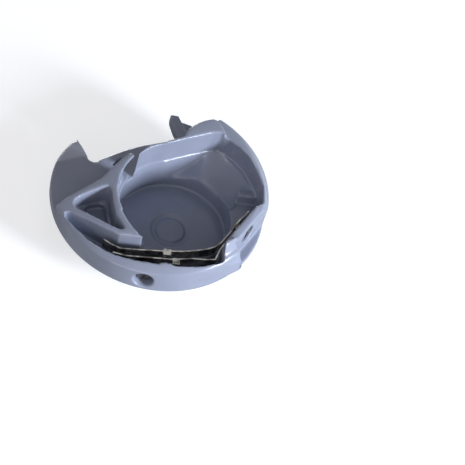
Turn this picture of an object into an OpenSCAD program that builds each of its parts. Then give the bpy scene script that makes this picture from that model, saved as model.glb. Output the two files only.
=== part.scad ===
// Drop-in bobbin case for a sewing machine: moulded case, two leaf springs and two slotted screws.
// Units are millimetres, +Z is up, the origin is the middle of the flat hub face under the pocket.

/* [Overall] */
// Outer radius of the round rim; every size in plan follows it
rim_r = 20; // [16.6:0.1:24]
// Height of the crown above the lower edge of the rim
crown_z = 8.5; // [7.2:0.1:10.2]
// Depth of the hub below the lower edge of the rim
hub_drop = 5.4; // [4.6:0.1:6.6]

/* [Case] */
// Thickness of the flange at the back
flange_t = 1.7; // [1.4:0.1:2.1]
// Height of the ledge in the pocket wall
ledge_z = 3; // [2.6:0.1:3.6]
// Thickness of the floor under the bobbin
floor_t = 1.4; // [1.1:0.1:1.7]
// Depth of the ring groove round the middle of the floor
groove_t = 0.4; // [0.2:0.05:0.5]
// Lean of the flat facet on the right, in degrees
facet_tilt = 1.2; // [0:0.1:3]

/* [Springs and screws] */
// Thickness of the leaf springs
leaf_t = 0.25; // [0.2:0.01:0.3]
// Height of the tension leaf
leaf_h = 2.2; // [1.8:0.1:2.7]
// Radius of the hole in front of the tension screw
screw_hole_r = 1.75; // [1.45:0.01:2.1]
// Radius of the hole in front of the fixing screw
fixing_hole_r = 1.75; // [1.45:0.01:2.1]
// Radius of the screw shanks
shank_r = 0.8; // [0.66:0.01:0.96]

/* [Hidden] */
$fn = 96;
eps = 0.02;
u = rim_r / 20;
fit = 0.05;                      // radial clearance of a turning shank
gap = 0.3;                       // space between faces of different pieces
rim_off = [-3.2, 3.05] * u;      // rim axis, seen from the pocket axis
pocket_at = -rim_off;            // pocket axis, seen from the rim axis
pocket_r = 10.6 * u;             // bobbin space
arm_r = 11.3 * u;                // bobbin space beside the arm, above the ledge
floor_z = floor_t - hub_drop;    // top of the pocket floor, from the rim edge
front_z = crown_z - 2.3;         // height of the front rim
horn_fall = 14;                  // slope of the horn, in degrees
facet_foot = 1;                  // where the facet on the right ends
channel_z = 0.9;                 // floor of the spring channel
ring_z = 2.6;                    // top of the low ring wall under the springs
edge_c = 0.15;                   // chamfer under the rim
fillet_r = 2.2;                  // rounding of the outer top edge
fillet_z = crown_z - 3.3;        // where it starts
flange_step = 0.35;              // the flange is this much lower left of the cut-out
tongue_rise = 0.4;               // the tongue beside the cut-out is this much thicker
ring_t = 0.7;                    // thickness of the flange behind the corner block
blade_z = crown_z - 1.7;         // underside of the finger at the end of the ridge
tri_z = 2.2;                     // floor of the three-sided pocket in the arm
tri_low_z = 1.1;                 // floor of its deeper middle
over = crown_z + 2;              // clear above everything
under = -3;                      // clear below every cut made from above

// Shallow domes that the top of the case is cut to: middle and radius
long_dome_r = 80 * u;
long_dome_at = [6 * u, 0, crown_z - long_dome_r];
near_dome_r = 37.3 * u;
near_dome_at = [2 * u, 0.5 * u, crown_z + 2.85 * u - near_dome_r];
back_dome_r = 180 * u;
back_dome_at = [7 * u, 9 * u, crown_z - back_dome_r];

// Beak at the end of the front rim: its foot, and its outer radius at the rim edge and the crown
beak_z = 0.8;
beak_r = [22.8, 17.9] * u;

// Fold line of the horn, and the block that is cut away above it
horn_at = [-19.1, 5.2] * u;
horn_az = 23.5;
horn_cut = [20 * u, 12 * u, 3];

// Half section of the outside of the bowl, and side view of the lug under the left side
bowl_profile = [[0, 0], [9.8 * u, 0], [10.3 * u, 0.4], [11.6 * u, 1.4], [12.6 * u, 3], [13.8 * u, 4.4],
    [14.2 * u, hub_drop + 0.5], [0, hub_drop + 0.5]];
lug_profile = [[-5 * u, 0.2 - hub_drop], [-8 * u, 0.2 - hub_drop], [-15.7 * u, 0.1], [-5 * u, 0.1]];
lug_w = 6 * u;
lug_y = 1.5 * u;

// Ring groove in the pocket floor: its radii at the bottom and at the floor
groove_in = [2.9, 2.6] * u;
groove_out = [3.3, 3.9] * u;

// Low ring wall beside the springs: how thick, and where its quarter turn starts
ring_w = 1 * u;
ring_az = -137;

// Flat slab on the right that the springs are fixed to
slab_az = -33;
facet_d = 18 * u;                // facet, from the rim axis, at facet_top
facet_top = crown_z - 2.1;
slab_d = 16.4 * u;               // inner face of the slab
lip_s = -3.3 * u;                // where the facet ends at the front rim
facet_cut = [6 * u, 24 * u, 16]; // block that is cut away outside the facet
facet_dip = 12;                  // how far it reaches below facet_top

// Screws
screw_az = -96.9;
screw_z = 0.42 * front_z;
seat_rho = 17.6 * u;             // floor of the counterbore of the tension screw
boss_rho = 16.95 * u;            // inner end of its boss
boss_end = 18.8 * u;             // its outer end, inside the front wall
boss_wall = 0.1;                 // it is wider than the hole by this much
head_t = 0.75;
bevel_t = 0.3;                   // bevel at the mouth of the front hole
fixing_s = 2.05 * u;
fixing_z = 4.3;
fixing_seat = 16.95 * u;         // floor of the counterbore of the fixing screw
bore_out = 5 * u;                // a counterbore is cut this far outwards from its floor
bore_in = 3 * u;                 // and its thinner hole this far inwards
tip_rho = 16.7 * u;              // inner end of the tension screw
fixing_over = 0.3;               // the fixing screw reaches this far past the leaf
fixing_gap = 0.2;                // space round the head of the fixing screw
slot_w = 0.4;                    // screwdriver slot
slot_t = 0.35;

// Leaf springs: heights from the rim edge
leaf_z = 2.9;
pad_h = 2.8;                     // height of the fixing pad of the tension leaf
guide_z = 2.4;
guide_h = 2.1;
inner_d = 15.45 * u;             // tension leaf along the slab
outer_d = 16 * u;                // guide leaf along the slab
pad_s = 0.3 * u;                 // where the fixing pad starts along the slab
pad_l = 3.4 * u;
pad_gap = 0.15;                  // space round the fixing screw in the pad
tension_tab_at = [0.7, -15.4] * u;
tension_tab = [1.4, 1.3] * u;
guide_tab_at = [2.5, -16.8] * u;
guide_tab = [1.3, 1.3] * u;

function unit(v) = v / norm(v);
function left(v) = [-v[1], v[0]];
function dir(a) = [cos(a), sin(a)];
function spot(d, s) = d * dir(slab_az) + s * left(dir(slab_az));
function side(p, w) = [for (i = [0 : len(p) - 1])
    let (a = unit(i == 0 ? p[1] - p[0] : p[i] - p[i - 1]),
         b = i == len(p) - 1 ? a : unit(p[i + 1] - p[i]),
         m = unit(left(a) + left(b)))
    p[i] + m * w / (m * left(a))];
function strip(p, t) = let (r = side(p, -t / 2))
    concat(side(p, t / 2), [for (i = [len(p) - 1 : -1 : 0]) r[i]]);

// Outlines in plan, from the rim axis, for a rim radius of 20
ridge = [[-22, -9.4], [-18.3, -6.4], [-17.1, -5.2], [-13.5, -2.8], [-11, -0.95], [-10.2, 0.35],
    [-8.2, 3.05], [-7.1, 4.2], [-6.3, 4.9], [-5.8, 4.8], [-5.5, 4.4]];
wall_out = [[-4.7, 4.6], [-3.7, 6], [-2.5, 6.9], [-0.6, 7.7], [1.5, 8.7], [3.5, 9.7], [3.8, 10.8],
    [4.4, 11.9], [5.5, 13], [7, 14.1], [8.9, 14.9]];
wall_in = [[-5.5, 2.4], [-4.5, 4], [-3.2, 5.4], [-2.2, 6.1], [1.7, 8.1], [5.7, 9.95], [9, 11.4],
    [10.6, 11.7], [11.3, 11.3], [12.1, 11.1], [14, 9.6], [15.8, 7.6], [17.1, 5], [18.1, 2.5], [18.6, 0]];
slit = [[-7.4, 0.2], [-6.95, 1.2], [-6.6, 2.2], [-6.05, 3], [-5.6, 3.7], [-5.5, 4.5], [-5.6, 7],
    [-4.6, 7], [-4.7, 4.6], [-4.95, 3.9], [-5.2, 2.9], [-5.6, 1.2], [-6.6, 0.3]];
channel_end = [[18.5, -2.6], [18.6, 1.7], [14.8, 1.7], [14.4, 0.3], [13.4, -0.8], [3.2, -3]];
along_slab = [spot(slab_d / u, -4.6), spot(slab_d / u, 6.2)];
arm_front = [[-2.9, -13.1], [-3.1, -13.4], [-7.4, -13.1], [-10.4, -11.6], [-13.9, -9.7],
    [-16.3, -8.4], [-17, -8.3]];
rim_in = [[-17.2, -8.6], [-17, -9.5], [-14.8, -12], [-12.8, -14], [-9.8, -16], [-7.8, -16.9],
    [-5.8, -17.4], [-3.8, -17.8], [-0.1, -18.2], [0.1, -17.9], [0.9, -17.8], [1.8, -17.9],
    [2.4, -18.2], [3.7, -18.2], [6.2, -17.9], [8.2, -17.4], [10.2, -16.6], [11.4, -16]];
tri = [[-15.8, -6.7], [-15.6, -5.8], [-14.4, -4.9], [-10.8, -3.2], [-9.8, -2.9], [-9.2, -3.9],
    [-8.9, -6.1], [-8.2, -9.1], [-6.9, -11.1], [-6.4, -11.7], [-7.1, -11.9], [-8.1, -11.6],
    [-15.3, -7.5]];
tri_low = [[-14.3, -6.6], [-12.9, -4.5], [-10.8, -3.75], [-9.95, -4.1], [-9.5, -6.3], [-8.8, -9.2],
    [-8.6, -10.6]];
notch = [[-16.5, 13.8], [-15.35, 11.9], [-14.4, 9.9], [-13.6, 7.75], [-13.4, 7], [-12.9, 6.6],
    [-12.2, 6.45], [-11.5, 6.6], [-10.8, 7.2], [-9.4, 8.2], [-6.5, 10.1], [-3.5, 11.6], [3.3, 14.3],
    [2.3, 16.9], [1.7, 19], [1.7, 24], [-12, 24]];
block = [[9.8, 14.6], [10.4, 13.8], [11.1, 12.3], [11.3, 11.3], [10.6, 11.7], [9, 11.4],
    [5.7, 9.95], [1.7, 8.1], [-2.2, 6.1], [-3.2, 5.4], [-4.5, 4], [-5.5, 2.4]];
rib = [[14.7, 1.55], [19, 1.55], [19, 2.9], [14.7, 2.8]];
flange_low = [[-11.7, 6.8], [-9, 5], [-9, -12], [-24, -12], [-24, 24], [-13, 24], [-12.9, 6.6]];
tongue = [[7.5, 14.3], [3.4, 14], [1.2, 17], [1.2, 19.96], [3.3, 19.72], [4.8, 16.4]];
ring_low = [[3.1, 24], [3.3, 19.8], [4.8, 16.4], [9, 14], [14, 20]];
under_finger = [[-7.2, 1.2], [-7.35, 3.2], [-7.7, 5.6], [-5.6, 7.2], [-4.6, 7], [-4.7, 4.6],
    [-4.95, 3.9], [-5.2, 2.9], [-5.6, 1.2]];
thread_gap = [[-7.35, 3.2], [-7.7, 5.6], [-5.6, 7.2], [-4.6, 7], [-4.7, 4.6], [-4.95, 3.9], [-5.12, 3.2]];
flange_slot = [[-8.95, 6.3], [-7.3, 8], [-6.75, 7.45], [-8.4, 5.75]];
beak = [[11, -13.5], [11.6, -16.28], [13.6, -15.05], [15, -14.1], [15.75, -13.3], [15.9, -12.6],
    [13.3, -11.8]];
arm_tip = [[-7.3, -7.8], [-6.3, -9.7], [-5.1, -11.5], [-3.95, -12.75], [-3.05, -13.35], [-1, -12],
    [-3, -8]];
v_gap = [[-6.4, 1], [-4, 0]];
around = [[11, 17], [24, 24], [24, -24], [-24, -24]];
beside_arm = [[-20, -20], [3.2, -20], [3.2, -3], [-5.55, 1.3], [-5.65, 2.4], [-4.6, 7], [-20, 7]];
recess_front = [[13.4, -0.8], [-2, -3]];
tension_bend = [[10.2, -12.2], [8.8, -13], [6.5, -13.7], [4.3, -14.2], [1.4, -14.6], [-3.5, -15],
    [-6.9, -15.2], [-8.5, -14.6], [-10, -13.7]];
guide_bend = [[10.2, -14.7], [8.3, -15], [6.2, -15.1], [2.4, -15.8], [-5.8, -16.2], [-8.2, -15.8]];

// The leaves run straight along the slab and then bend along the front rim
tension_path = concat([spot(inner_d, 6 * u), spot(inner_d, -3.4 * u)], tension_bend * u);
guide_path = concat([spot(outer_d, -2.4 * u), spot(outer_d, -4.3 * u)], guide_bend * u);

pocket_out = 0.2;                // the pocket is this much wider above the ledge
ledge_w = 0.3;                   // width of the ledge round the recess
recess_low = concat(side(wall_in, -ledge_w), recess_front);

// Dish in the floor of the recess, and the ramp from it down into the pocket along the back wall
dish_at = [10.1, 3.9];
dish_r = 9.5;
dish_z = -0.4;
ramp_az = 24.3;
ramp_at = [-0.45, 7.5];
ramp_r = 12;
ramp_z = -2.4;
ramp_l = 10 * u;
ramp_start = -4 * u;

module on_rim(z = 0) translate([rim_off[0], rim_off[1], hub_drop + z]) children();
module on_pocket(z = 0) translate([pocket_at[0], pocket_at[1], z]) children();
module plan(points, z0, z1) translate([0, 0, z0]) linear_extrude(z1 - z0) polygon(points * u);
module on_slab(s, z) rotate([0, 0, slab_az]) translate([0, s, z]) rotate([0, 90, 0]) children();
module on_screw() rotate([0, 0, screw_az]) translate([0, 0, screw_z]) rotate([0, 90, 0]) children();

// Round outside of the case, under its crown
module outer_form(r) intersection() {
    union() {
        cylinder(r1 = r - edge_c, r2 = r, h = edge_c);
        translate([0, 0, edge_c]) cylinder(r = r, h = fillet_z - edge_c);
        translate([0, 0, fillet_z]) rotate_extrude() translate([r - fillet_r, 0]) circle(r = fillet_r);
        cylinder(r = r - fillet_r, h = crown_z + 1);
    }
    translate(long_dome_at) sphere(r = long_dome_r, $fn = 180);
    translate(near_dome_at) sphere(r = near_dome_r, $fn = 180);
}

// Everything that stands above the flange
module raised() intersection() {
    outer_form(rim_r);
    plan(concat(ridge, v_gap, wall_out, around), 0, over);
}

// Pointed end of the front rim, a little outside the round of it
module rim_beak() intersection() {
    plan(beak, beak_z, over);
    cylinder(r1 = beak_r[0], r2 = beak_r[1], h = crown_z);
}

// Plate at the foot, with the deep cut-out and a slot at the back, the horn on the left and the tongue
module flange() difference() {
    union() {
        plan(tongue, 0, flange_t + tongue_rise);
        cylinder(r1 = rim_r - edge_c, r2 = rim_r, h = edge_c);
        translate([0, 0, edge_c]) cylinder(r = rim_r, h = flange_t - edge_c);
    }
    plan(notch, under, over);
    plan(flange_slot, under, over);
    plan(ring_low, ring_t, over);
    plan(flange_low, flange_t - flange_step, over);
    translate([horn_at[0], horn_at[1], flange_t - flange_step]) rotate([0, 0, horn_az])
        rotate([-horn_fall, 0, 0]) translate([-0.4 * horn_cut[0], 0, 0]) cube(horn_cut);
}

// Bowl that holds the bobbin, below the rim
module bowl() on_pocket(-hub_drop) rotate_extrude() polygon(bowl_profile);

// Sloping lug under the left side
module lug() translate([0, lug_y, 0]) rotate([90, 0, 0]) linear_extrude(lug_w) polygon(lug_profile);

// Thin back wall and corner block, standing a little proud of the crown
module back_wall() intersection() {
    plan(concat(wall_out, block), 0, over);
    translate(back_dome_at) sphere(r = back_dome_r, $fn = 200);
}

// Counterbore from its floor outwards, and the thinner hole inwards from it
module stepped_hole(seat, head_r, hole_r) translate([0, 0, seat]) {
    cylinder(r = head_r, h = bore_out);
    translate([0, 0, -bore_in]) cylinder(r = hole_r, h = bore_in + eps);
}

module holes() {
    on_screw() {
        stepped_hole(seat_rho, screw_hole_r, shank_r + fit);
        translate([0, 0, rim_r - bevel_t])
            cylinder(r1 = screw_hole_r, r2 = screw_hole_r + bevel_t, h = bevel_t + eps);
    }
    on_slab(fixing_s, fixing_z) stepped_hole(fixing_seat, fixing_hole_r, shank_r);
}

module case_body() color([0.42, 0.46, 0.58]) on_rim() difference() {
    union() {
        difference() {
            union() {
                raised();
                rim_beak();
                flange();
                bowl();
                back_wall();
            }
            hollows();
        }
        lug();
        ring_wall();
        plan(rib, channel_z, ledge_z);
        on_screw() translate([0, 0, boss_rho])
            cylinder(r = screw_hole_r + boss_wall, h = boss_end - boss_rho);
    }
    on_pocket(floor_z) cylinder(r = pocket_r, h = crown_z + hub_drop);
    facet();
    holes();
}

// Soft groove round the middle of the pocket floor
module groove() on_pocket(floor_z - groove_t) difference() {
    cylinder(r1 = groove_out[0], r2 = groove_out[1], h = groove_t + eps);
    cylinder(r1 = groove_in[0], r2 = groove_in[1], h = groove_t + 2 * eps);
}

// Dished floor of the recess for a fingertip, and the ramp beside it
module dished_floor() {
    intersection() {
        translate([dish_at[0] * u, dish_at[1] * u, dish_r * u + dish_z]) sphere(r = dish_r * u, $fn = 128);
        plan(recess_low, under, over);
    }
    intersection() {
        translate([ramp_at[0] * u, ramp_at[1] * u, ramp_r * u + ramp_z])
            rotate([0, 0, ramp_az]) rotate([90, 0, 0]) translate([0, 0, ramp_start])
                cylinder(r = ramp_r * u, h = ramp_l, $fn = 128);
        plan(recess_low, under, ledge_z + eps);
    }
}

// Spaces in the top of the case
module hollows() {
    channel();
    groove();
    on_pocket(ledge_z) cylinder(r = pocket_r + pocket_out, h = crown_z);
    intersection() {
        on_pocket(ledge_z) cylinder(r = arm_r, h = crown_z);
        plan(beside_arm, 0, over);
    }
    plan(arm_tip, ledge_z, over);
    plan(concat(wall_in, recess_front), ledge_z, over);
    dished_floor();
    plan(tri, tri_z, over);
    plan(tri_low, tri_low_z, over);
    plan(slit, ledge_z, over);
    plan(under_finger, ledge_z, blade_z);
    plan(thread_gap, flange_t, blade_z);
}

// Flat cut on the right, from the end of the front rim
module facet() intersection() {
    rotate([0, 0, slab_az]) translate([facet_d, lip_s, facet_top]) rotate([0, -facet_tilt, 0])
        translate([0, 0, -facet_dip]) cube(facet_cut);
    translate([0, 0, facet_foot]) cylinder(r = 1.5 * rim_r, h = crown_z);
}

// Space the springs lie in, between the arm, the front wall and the slab
module channel() plan(concat(rim_in, along_slab, channel_end, arm_front), channel_z, over);

// Low wall between the bobbin space and the springs
module ring_wall() on_pocket(0) intersection() {
    cylinder(r = pocket_r + ring_w, h = ring_z);
    rotate([0, 0, ring_az]) cube([rim_r, rim_r, ring_z]);
}

// Slotted screw with its head from z = 0 up and its shank below
module slotted(r, shank) difference() {
    union() {
        cylinder(r = r, h = head_t);
        translate([0, 0, -shank]) cylinder(r = shank_r, h = shank + eps);
    }
    translate([-2 * r, -slot_w / 2, head_t - slot_t]) cube([4 * r, slot_w, head_t]);
}

// Leaf pressed on the thread; the fixing screw holds its right end
module tension_leaf() color([0.3, 0.3, 0.32]) on_rim() difference() {
    union() {
        translate([0, 0, leaf_z]) linear_extrude(leaf_h) polygon(strip(tension_path, leaf_t));
        on_slab(0, fixing_z) translate([-pad_h / 2, pad_s, inner_d - leaf_t / 2])
            cube([pad_h, pad_l, leaf_t]);
        tab(tension_tab_at, tension_tab, leaf_z + leaf_h);
    }
    on_slab(fixing_s, fixing_z) translate([0, 0, inner_d - leaf_t])
        cylinder(r = shank_r + pad_gap, h = 2 * leaf_t);
}

// Tab bent over from the top edge of a leaf
module tab(at, size, top) translate([at[0], at[1], top - leaf_t]) cube([size[0], size[1], leaf_t]);

// Leaf between the tension screw and the tension leaf
module guide_leaf() color([0.32, 0.32, 0.34]) on_rim() {
    translate([0, 0, guide_z]) linear_extrude(guide_h) polygon(strip(guide_path, leaf_t));
    tab(guide_tab_at, guide_tab, guide_z + guide_h);
}

// Adjusting screw behind the front hole
module tension_screw() color([0.6, 0.6, 0.62]) on_rim() on_screw() translate([0, 0, seat_rho + gap])
    slotted(screw_hole_r - gap, seat_rho + gap - tip_rho);

// Screw behind the right hole, through the end of the tension leaf
module fixing_screw() color([0.6, 0.6, 0.62]) on_rim() on_slab(fixing_s, fixing_z)
    translate([0, 0, fixing_seat])
        slotted(fixing_hole_r - fixing_gap, fixing_seat - inner_d + fixing_over);

case_body();
tension_leaf();
guide_leaf();
tension_screw();
fixing_screw();
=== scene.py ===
"""Looks of the drop-in bobbin case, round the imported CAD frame.

The case gets a moulded plastic skin with rounded edges. The two spring leaves and the two screws are the CAD
pieces themselves, with broken edges and steel materials.
"""

import math

import bmesh
import bpy
import numpy as np
from mathutils import Matrix, Vector


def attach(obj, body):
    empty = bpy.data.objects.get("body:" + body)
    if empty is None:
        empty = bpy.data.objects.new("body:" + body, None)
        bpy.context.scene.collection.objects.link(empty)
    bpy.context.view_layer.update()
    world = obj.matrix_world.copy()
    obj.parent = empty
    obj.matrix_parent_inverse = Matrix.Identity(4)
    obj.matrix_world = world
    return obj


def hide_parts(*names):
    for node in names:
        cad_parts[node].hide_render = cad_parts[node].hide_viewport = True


MM = 0.001
scene = bpy.context.scene
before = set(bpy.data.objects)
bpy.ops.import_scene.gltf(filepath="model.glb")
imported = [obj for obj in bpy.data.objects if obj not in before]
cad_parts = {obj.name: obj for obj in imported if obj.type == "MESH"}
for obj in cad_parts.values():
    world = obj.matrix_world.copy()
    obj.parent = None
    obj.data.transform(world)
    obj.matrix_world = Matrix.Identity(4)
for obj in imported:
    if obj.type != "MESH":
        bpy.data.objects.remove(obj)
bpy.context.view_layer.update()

# ---------------------------------------------------------------- moulded skin, in millimetres
VOXEL = 0.17                     # grid of the skin
WELD = VOXEL / 100               # corners nearer than this are one
EDGE_PASSES = 5                  # smoothing passes that round every moulded edge
SOFT_PASSES = 70                 # further passes where the moulding is blended
STEP = 0.5                       # share of the way to its neighbours that a vertex moves in a full pass
POCKET_R = 10.6                  # radius of the wall of the bobbin space
RECESS = [(-8.2, 5.9), (-5.4, 9.15), (-1.5, 11.15), (5.8, 14.45), (8.1, 14.35), (10.8, 12.65),
          (12.6, 10.65), (13.9, 8.05), (14.3, 6.6), (8.1, 6.6), (0, 0)]    # plan of the finger recess
RECESS_TOP = 8.1                 # the floor of the recess lies below this height
FLOOR_UP = 0.35                  # a vertex is on that floor if its normal points up by more than this
RIM_WIDTH = 0.4                  # strip of that floor whose height gives the height of the ridge
RIDGE_REACH = 0.9                # blend of the ridge between recess and bobbin space
GROOVE_R = 3.1                   # radius of the ring groove in the pocket floor, at its middle
GROOVE_REACH = 1.2               # blend to each side of the groove
GROOVE_TOP = 2                   # the groove lies below this height
GROOVE_SHARE = 0.03              # blend of the groove, as a share of the full blend
TOP_FROM = 10.2                  # edges above this height are rounder
TOP_SHARE = 0.15                 # blend of those edges, reached 1 mm further up
EVEN_BEND = 0.004                # where the skin bends less than this, it is evened out
EVEN_SHARE = 0.5                 # blend of skin that does not bend at all
TURN = 360                       # degrees

# ---------------------------------------------------------------- metal edges, in millimetres
LEAF_EDGE = 0.05                 # rolled edge of the stamped leaves
SCREW_EDGE = 0.07                # worn edge of the screw heads
EDGE_SEGMENTS = 2

# ---------------------------------------------------------------- materials
GRAIN = (0.3, 0.7)               # where most values of a noise lie
# tints are linear red, green and blue
PLASTIC_TINTS = (0.232, 0.255, 0.342), (0.252, 0.276, 0.368)
PLASTIC_FLOW = (0.35, 0.65)      # noise values from the first tint to the second
PLASTIC_ROUGHNESS = (0.2, 0.262)
PLASTIC_IOR = 1.5
PLASTIC_SKIN = 0.004             # depth of the satin skin, in millimetres
LEAF_TINTS = (0.13, 0.125, 0.12), (0.58, 0.56, 0.52)
LEAF_PATCHES = (0.38, 0.58)      # noise values from the first tint to the second
LEAF_BRUSH = (0.5, 0.5, 14)      # stretch that draws the marks out along the leaf
LEAF_ROUGHNESS = (0.12, 0.26)
LEAF_WAVE = 0.05                 # depth of brush marks and waves, in millimetres
SCREW_TINTS = (0.10, 0.10, 0.10), (0.22, 0.215, 0.21)
SCREW_ROUGHNESS = (0.3, 0.42)
SCREW_STRETCH = (6, 6, 6)        # even stretch that makes the grain fine
SCREW_GRAIN = 0.008              # depth of the grain, in millimetres
FLOOR_COLOUR = (0.48, 0.49, 0.50)
FLOOR_ROUGHNESS = 0.28
FLOOR_GLOW_COLOUR = (0.98, 0.98, 1.0)
FLOOR_GLOW = 0.64                # what the camera sees added to the floor, where 1 is white
FLOOR_R = 3                      # metres
FLOOR_SIDES = 96

# ---------------------------------------------------------------- camera
CAMERA_AT = (-37.282, -174.095, 234.032)    # millimetres
CAMERA_AZIMUTH = -15.68          # degrees round the case
CAMERA_ELEVATION = 51.95         # degrees above the rim plane
CAMERA_ROLL = 19.63              # degrees about the line of sight
SENSOR = 36                      # millimetres
LENS = 121.55                    # millimetres
CLIP_START, CLIP_END = 0.01, 10  # metres

# ---------------------------------------------------------------- light
WORLD_LEVEL = 0.1                # sky light on the object
SKY_COLOUR = (0.94, 0.96, 1.0)
CEILING = 0.6                    # what gloss shows overhead
WALL_TOP = 0.25                  # the white surroundings end at this sine of the elevation
CEILING_START = 0.45             # and the ceiling starts at this one
LAMP_DISTANCE = 0.50             # metres from the case
WHITE = (1.0, 1.0, 1.0)
COOL = (0.88, 0.94, 1.0)
WARM = (1.0, 0.96, 0.93)


# ---------------------------------------------------------------- node helpers
def new_material(name):
    """A new node material, its tree and its Principled shader."""
    material = bpy.data.materials.new(name)
    material.use_nodes = True
    tree = material.node_tree
    return material, tree, tree.nodes["Principled BSDF"]


def add_node(tree, kind, inputs=(), **settings):
    """A node with its settings, and its input values by socket name."""
    node = tree.nodes.new(kind)
    for key, value in settings.items():
        setattr(node, key, value)
    for key, value in dict(inputs).items():
        node.inputs[key].default_value = value
    return node


def object_mm(tree, stretch=(1, 1, 1)):
    """Object coordinates in millimetres, stretched along the axes."""
    place = add_node(tree, "ShaderNodeTexCoord")
    scale = add_node(tree, "ShaderNodeMapping")
    scale.inputs["Scale"].default_value = [s / MM for s in stretch]
    tree.links.new(place.outputs["Object"], scale.inputs["Vector"])
    return scale.outputs["Vector"]


def noise(tree, where, scale, detail, roughness=0.5):
    """Value of a noise whose grain is 1 / scale of the coordinates."""
    node = add_node(tree, "ShaderNodeTexNoise", {"Scale": scale, "Detail": detail, "Roughness": roughness})
    tree.links.new(where, node.inputs["Vector"])
    return node.outputs["Fac"]


def span(tree, value, given, wanted):
    """Maps a value from the given range to the wanted one, clamped."""
    node = add_node(tree, "ShaderNodeMapRange", {"From Min": given[0], "From Max": given[1],
                                                 "To Min": wanted[0], "To Max": wanted[1]})
    tree.links.new(value, node.inputs["Value"])
    return node.outputs["Result"]


def mix_colour(tree, factor, tints):
    """Blend from the first tint to the second."""
    node = add_node(tree, "ShaderNodeMix", data_type="RGBA")
    tree.links.new(factor, node.inputs["Factor"])
    for socket, tint in zip(("A", "B"), tints):
        target = [s for s in node.inputs if s.name == socket and s.type == "RGBA"][0]
        target.default_value = (*tint, 1)
    return [s for s in node.outputs if s.type == "RGBA"][0]


def calculate(tree, operation, first, second):
    """Math of two sockets."""
    node = add_node(tree, "ShaderNodeMath", operation=operation)
    tree.links.new(first, node.inputs[0])
    tree.links.new(second, node.inputs[1])
    return node.outputs[0]


def add_values(tree, *values):
    """Sum of several sockets."""
    total = values[0]
    for value in values[1:]:
        total = calculate(tree, "ADD", total, value)
    return total


def bump(tree, shader, height, depth):
    """Bump of a depth in millimetres on a shader."""
    node = add_node(tree, "ShaderNodeBump", {"Strength": 1.0, "Distance": depth * MM})
    tree.links.new(height, node.inputs["Height"])
    tree.links.new(node.outputs["Normal"], shader.inputs["Normal"])


# ---------------------------------------------------------------- materials
def case_plastic():
    """Blue-grey moulded plastic with faint flow marks and a fine satin skin."""
    material, tree, shader = new_material("case_plastic")
    where = object_mm(tree)
    flow = span(tree, noise(tree, where, scale=0.16, detail=3), PLASTIC_FLOW, (0, 1))
    body = mix_colour(tree, flow, PLASTIC_TINTS)
    tree.links.new(body, shader.inputs["Base Color"])
    haze = noise(tree, where, scale=0.7, detail=4, roughness=0.6)
    tree.links.new(span(tree, haze, GRAIN, PLASTIC_ROUGHNESS), shader.inputs["Roughness"])
    shader.inputs["IOR"].default_value = PLASTIC_IOR
    fine = noise(tree, where, scale=5, detail=2)
    broad = noise(tree, where, scale=0.9, detail=1)
    bump(tree, shader, add_values(tree, fine, broad), PLASTIC_SKIN)
    return material


def spring_steel():
    """Rolled spring steel, brushed along the leaf, wavy and dark in patches."""
    material, tree, shader = new_material("spring_steel")
    brush = noise(tree, object_mm(tree, LEAF_BRUSH), scale=1.1, detail=3)
    wave = noise(tree, object_mm(tree), scale=0.9, detail=2)
    cloud = noise(tree, object_mm(tree), scale=0.55, detail=4, roughness=0.6)
    patch = span(tree, cloud, LEAF_PATCHES, (0, 1))
    tint = mix_colour(tree, patch, LEAF_TINTS)
    tree.links.new(tint, shader.inputs["Base Color"])
    shader.inputs["Metallic"].default_value = 1
    tree.links.new(span(tree, brush, GRAIN, LEAF_ROUGHNESS), shader.inputs["Roughness"])
    bump(tree, shader, add_values(tree, brush, wave, wave), LEAF_WAVE)    # the wave counts twice
    return material


def screw_steel():
    """Dark plated steel of the screws, with a fine grain."""
    material, tree, shader = new_material("screw_steel")
    where = object_mm(tree, SCREW_STRETCH)
    grain = noise(tree, where, scale=1.2, detail=3)
    tint = mix_colour(tree, grain, SCREW_TINTS)
    tree.links.new(tint, shader.inputs["Base Color"])
    shader.inputs["Metallic"].default_value = 1
    tree.links.new(span(tree, grain, GRAIN, SCREW_ROUGHNESS), shader.inputs["Roughness"])
    bump(tree, shader, grain, SCREW_GRAIN)
    return material


# ---------------------------------------------------------------- skin of the case
def applied(obj):
    """Mesh of an object with its modifiers applied."""
    graph = bpy.context.evaluated_depsgraph_get()
    return bpy.data.meshes.new_from_object(obj.evaluated_get(graph))


def inside(x, y, outline):
    """Which points lie inside an outline in plan."""
    within = np.zeros(len(x), dtype=bool)
    for (ax, ay), (bx, by) in zip(outline, outline[1:] + outline[:1]):
        crossed = (ay > y) != (by > y)
        within ^= crossed & (x < (bx - ax) * (y - ay) / (by - ay if by != ay else 1) + ax)
    return within


def near(distance, reach):
    """1 at a distance of 0, falling smoothly to 0 at about twice the reach."""
    return np.exp(-(distance / reach) ** 2)


def ridge_blend(x, y, z, floor):
    """Blend of the ridge where the floor of the recess meets the bobbin space, at the height it has there."""
    radius = np.hypot(x, y)
    degree = np.round(np.degrees(np.arctan2(y, x))).astype(int) % TURN
    rim = floor & (radius < POCKET_R + RIM_WIDTH)
    count = np.bincount(degree[rim], minlength=TURN)
    height = np.bincount(degree[rim], z[rim], TURN) / np.maximum(count, 1)
    return near(np.hypot(radius - POCKET_R, z - height[degree]), RIDGE_REACH) * (count[degree] > 0)


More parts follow.
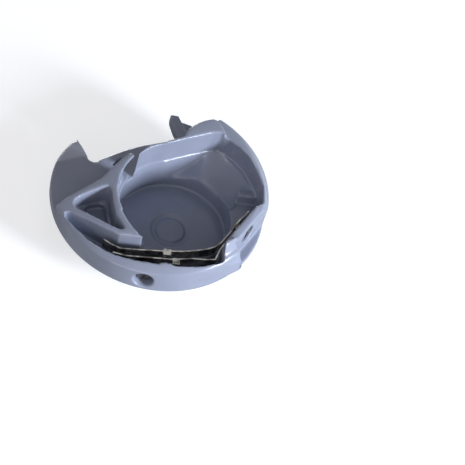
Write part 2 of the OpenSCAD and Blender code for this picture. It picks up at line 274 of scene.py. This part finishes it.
def blends(points, normals):
    """How far each vertex of the case is blended, from 0 to 1."""
    x, y, z = points.T
    radius = np.hypot(x, y)
    up = normals[:, 2]
    floor = inside(x, y, RECESS) & (z < RECESS_TOP) & (radius > POCKET_R) & (up > FLOOR_UP)
    ridge = ridge_blend(x, y, z, floor)
    groove = GROOVE_SHARE * near(radius - GROOVE_R, GROOVE_REACH) * ((z < GROOVE_TOP) & (up > 0))
    top = TOP_SHARE * np.clip(z - TOP_FROM, 0, 1)
    return np.maximum.reduce([floor.astype(float), ridge, groove, top])


def soften(mesh, passes):
    """Draws each vertex towards its neighbours: as far as blends() says, and where the skin hardly bends."""
    points = np.empty(len(mesh.vertices) * 3)
    mesh.vertices.foreach_get("co", points)
    normals = np.empty(len(mesh.vertices) * 3, dtype=np.float32)
    mesh.vertex_normals.foreach_get("vector", normals)
    edges = np.empty(len(mesh.edges) * 2, dtype=np.int32)
    mesh.edges.foreach_get("vertices", edges)
    points = points.reshape(-1, 3)
    edges = edges.reshape(-1, 2)
    normals = normals.reshape(-1, 3)
    start = np.concatenate([edges[:, 0], edges[:, 1]])
    end = np.concatenate([edges[:, 1], edges[:, 0]])
    count = np.maximum(np.bincount(start, minlength=len(points)), 1)

    def pull():
        """From each vertex to the middle of its neighbours."""
        return np.stack([np.bincount(start, points[end, axis], len(points)) / count - points[:, axis]
                         for axis in range(3)], axis=1)

    bend = np.abs((pull() * normals).sum(axis=1))
    even = EVEN_SHARE * np.clip(1 - bend / EVEN_BEND, 0, 1)
    step = STEP * np.maximum(even, blends(points, normals))[:, None]
    for _ in range(passes):
        points += step * pull()
    mesh.vertices.foreach_set("co", points.ravel())
    mesh.update()


def moulded(node, name):
    """Skin of a CAD node as it comes from a mould, with every edge rounded."""
    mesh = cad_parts[node].data.copy()
    mesh.transform(Matrix.Scale(1 / MM, 4))
    work = bmesh.new()
    work.from_mesh(mesh)
    bmesh.ops.remove_doubles(work, verts=work.verts, dist=WELD)
    work.to_mesh(mesh)
    work.free()
    piece = bpy.data.objects.new(name, mesh)
    scene.collection.objects.link(piece)
    remesh = piece.modifiers.new("skin", "REMESH")
    remesh.mode = "VOXEL"
    remesh.voxel_size = VOXEL
    remesh.use_smooth_shade = True
    smooth = piece.modifiers.new("edges", "SMOOTH")
    smooth.factor = STEP
    smooth.iterations = EDGE_PASSES
    skin = applied(piece)
    piece.modifiers.clear()
    soften(skin, SOFT_PASSES)
    skin.transform(Matrix.Scale(MM, 4))
    piece.data = skin
    for face in skin.polygons:
        face.use_smooth = True
    return piece


# ---------------------------------------------------------------- pieces
def paint(obj, material):
    """Gives an object one material."""
    obj.data.materials.clear()
    obj.data.materials.append(material)


def bevelled(node, material, width):
    """Paints a CAD node that stays, and breaks its sharp edges."""
    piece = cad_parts[node]
    paint(piece, material)
    edge = piece.modifiers.new("edges", "BEVEL")
    edge.width = width * MM
    edge.segments = EDGE_SEGMENTS
    edge.limit_method = "ANGLE"


def make_case():
    """The moulding, in place of its CAD node."""
    plastic = case_plastic()
    case = moulded("case_body", "moulded_case")
    paint(case, plastic)
    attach(case, "case")
    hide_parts("case_body")


def make_metal():
    """Leaves and screws."""
    leaf_steel = spring_steel()
    for leaf in ("tension_leaf", "guide_leaf"):
        bevelled(leaf, leaf_steel, LEAF_EDGE)
    plated = screw_steel()
    for screw in ("tension_screw", "fixing_screw"):
        bevelled(screw, plated, SCREW_EDGE)


# ---------------------------------------------------------------- stage
def add_floor():
    """Pale satin floor under the hub, which keeps the soft shadow."""
    mesh = bpy.data.meshes.new("floor")
    work = bmesh.new()
    bmesh.ops.create_circle(work, cap_ends=True, segments=FLOOR_SIDES, radius=FLOOR_R)
    work.to_mesh(mesh)
    work.free()
    floor = bpy.data.objects.new("floor", mesh)
    scene.collection.objects.link(floor)
    material, tree, shader = new_material("floor")
    shader.inputs["Base Color"].default_value = (*FLOOR_COLOUR, 1)
    shader.inputs["Roughness"].default_value = FLOOR_ROUGHNESS
    shader.inputs["Emission Color"].default_value = (*FLOOR_GLOW_COLOUR, 1)
    path = add_node(tree, "ShaderNodeLightPath")
    seen = add_node(tree, "ShaderNodeMath", operation="MULTIPLY")
    seen.inputs[1].default_value = FLOOR_GLOW
    tree.links.new(path.outputs["Is Camera Ray"], seen.inputs[0])
    tree.links.new(seen.outputs[0], shader.inputs["Emission Strength"])
    paint(floor, material)


def add_world():
    """White surroundings under a dim ceiling: plain light on the object, pure white where they are seen."""
    world = bpy.data.worlds.new("studio")
    scene.world = world
    world.use_nodes = True
    tree = world.node_tree
    sky = tree.nodes["Background"]
    sky.inputs["Color"].default_value = (*SKY_COLOUR, 1)
    path = add_node(tree, "ShaderNodeLightPath")
    place = add_node(tree, "ShaderNodeTexCoord")
    height = add_node(tree, "ShaderNodeSeparateXYZ")
    tree.links.new(place.outputs["Generated"], height.inputs[0])
    overhead = span(tree, height.outputs["Z"], (WALL_TOP, CEILING_START), (1, CEILING))
    mirrored = add_values(tree, path.outputs["Is Glossy Ray"], path.outputs["Is Transmission Ray"])
    shown = calculate(tree, "MULTIPLY", mirrored, overhead)
    seen = calculate(tree, "MAXIMUM", shown, path.outputs["Is Camera Ray"])
    tree.links.new(span(tree, seen, (0, 1), (WORLD_LEVEL, 1)), sky.inputs["Strength"])


def add_lamp(name, azimuth, elevation, width, power, colour=WHITE, tall=1):
    """Softbox aimed at the case, from degrees round it and above it. It is tall times as high as wide."""
    data = bpy.data.lights.new(name, "AREA")
    data.shape = "RECTANGLE"
    data.size = width
    data.size_y = width * tall
    data.energy = power
    data.color = colour
    lamp = bpy.data.objects.new(name, data)
    scene.collection.objects.link(lamp)
    a, e = math.radians(azimuth), math.radians(elevation)
    back = Vector((math.sin(a) * math.cos(e), -math.cos(a) * math.cos(e), math.sin(e)))
    lamp.location = back * LAMP_DISTANCE
    lamp.rotation_mode = "QUATERNION"
    lamp.rotation_quaternion = (-back).to_track_quat("-Z", "Y")
    lamp.visible_camera = False


def add_lamps():
    """Softboxes: azimuth and elevation in degrees, width in metres, power in watts."""
    add_lamp("key", 57, 21.5, 0.11, 4.2, COOL)
    add_lamp("fill", -22, 22, 0.30, 0.72, WARM)
    add_lamp("side", -120, 18, 0.30, 0.36, WARM)
    add_lamp("back_right", 132, 10, 0.26, 0.26)
    add_lamp("edge", -171, 8, 0.06, 0.45, tall=1.6)
    add_lamp("top", 10, 65, 0.40, 0.20)


def add_camera():
    """The viewpoint of the picture, with the case to the upper left."""
    data = bpy.data.cameras.new("camera")
    data.sensor_width = SENSOR
    data.lens = LENS
    data.clip_start = CLIP_START
    data.clip_end = CLIP_END
    camera = bpy.data.objects.new("camera", data)
    scene.collection.objects.link(camera)
    turn = (Matrix.Rotation(math.radians(CAMERA_AZIMUTH), 4, "Z")
            @ Matrix.Rotation(math.radians(90 - CAMERA_ELEVATION), 4, "X")
            @ Matrix.Rotation(math.radians(CAMERA_ROLL), 4, "Z"))
    camera.matrix_world = Matrix.Translation(Vector(CAMERA_AT) * MM) @ turn
    scene.camera = camera


add_camera()
make_case()
make_metal()
add_floor()
add_world()
add_lamps()
scene.view_settings.view_transform = "Standard"
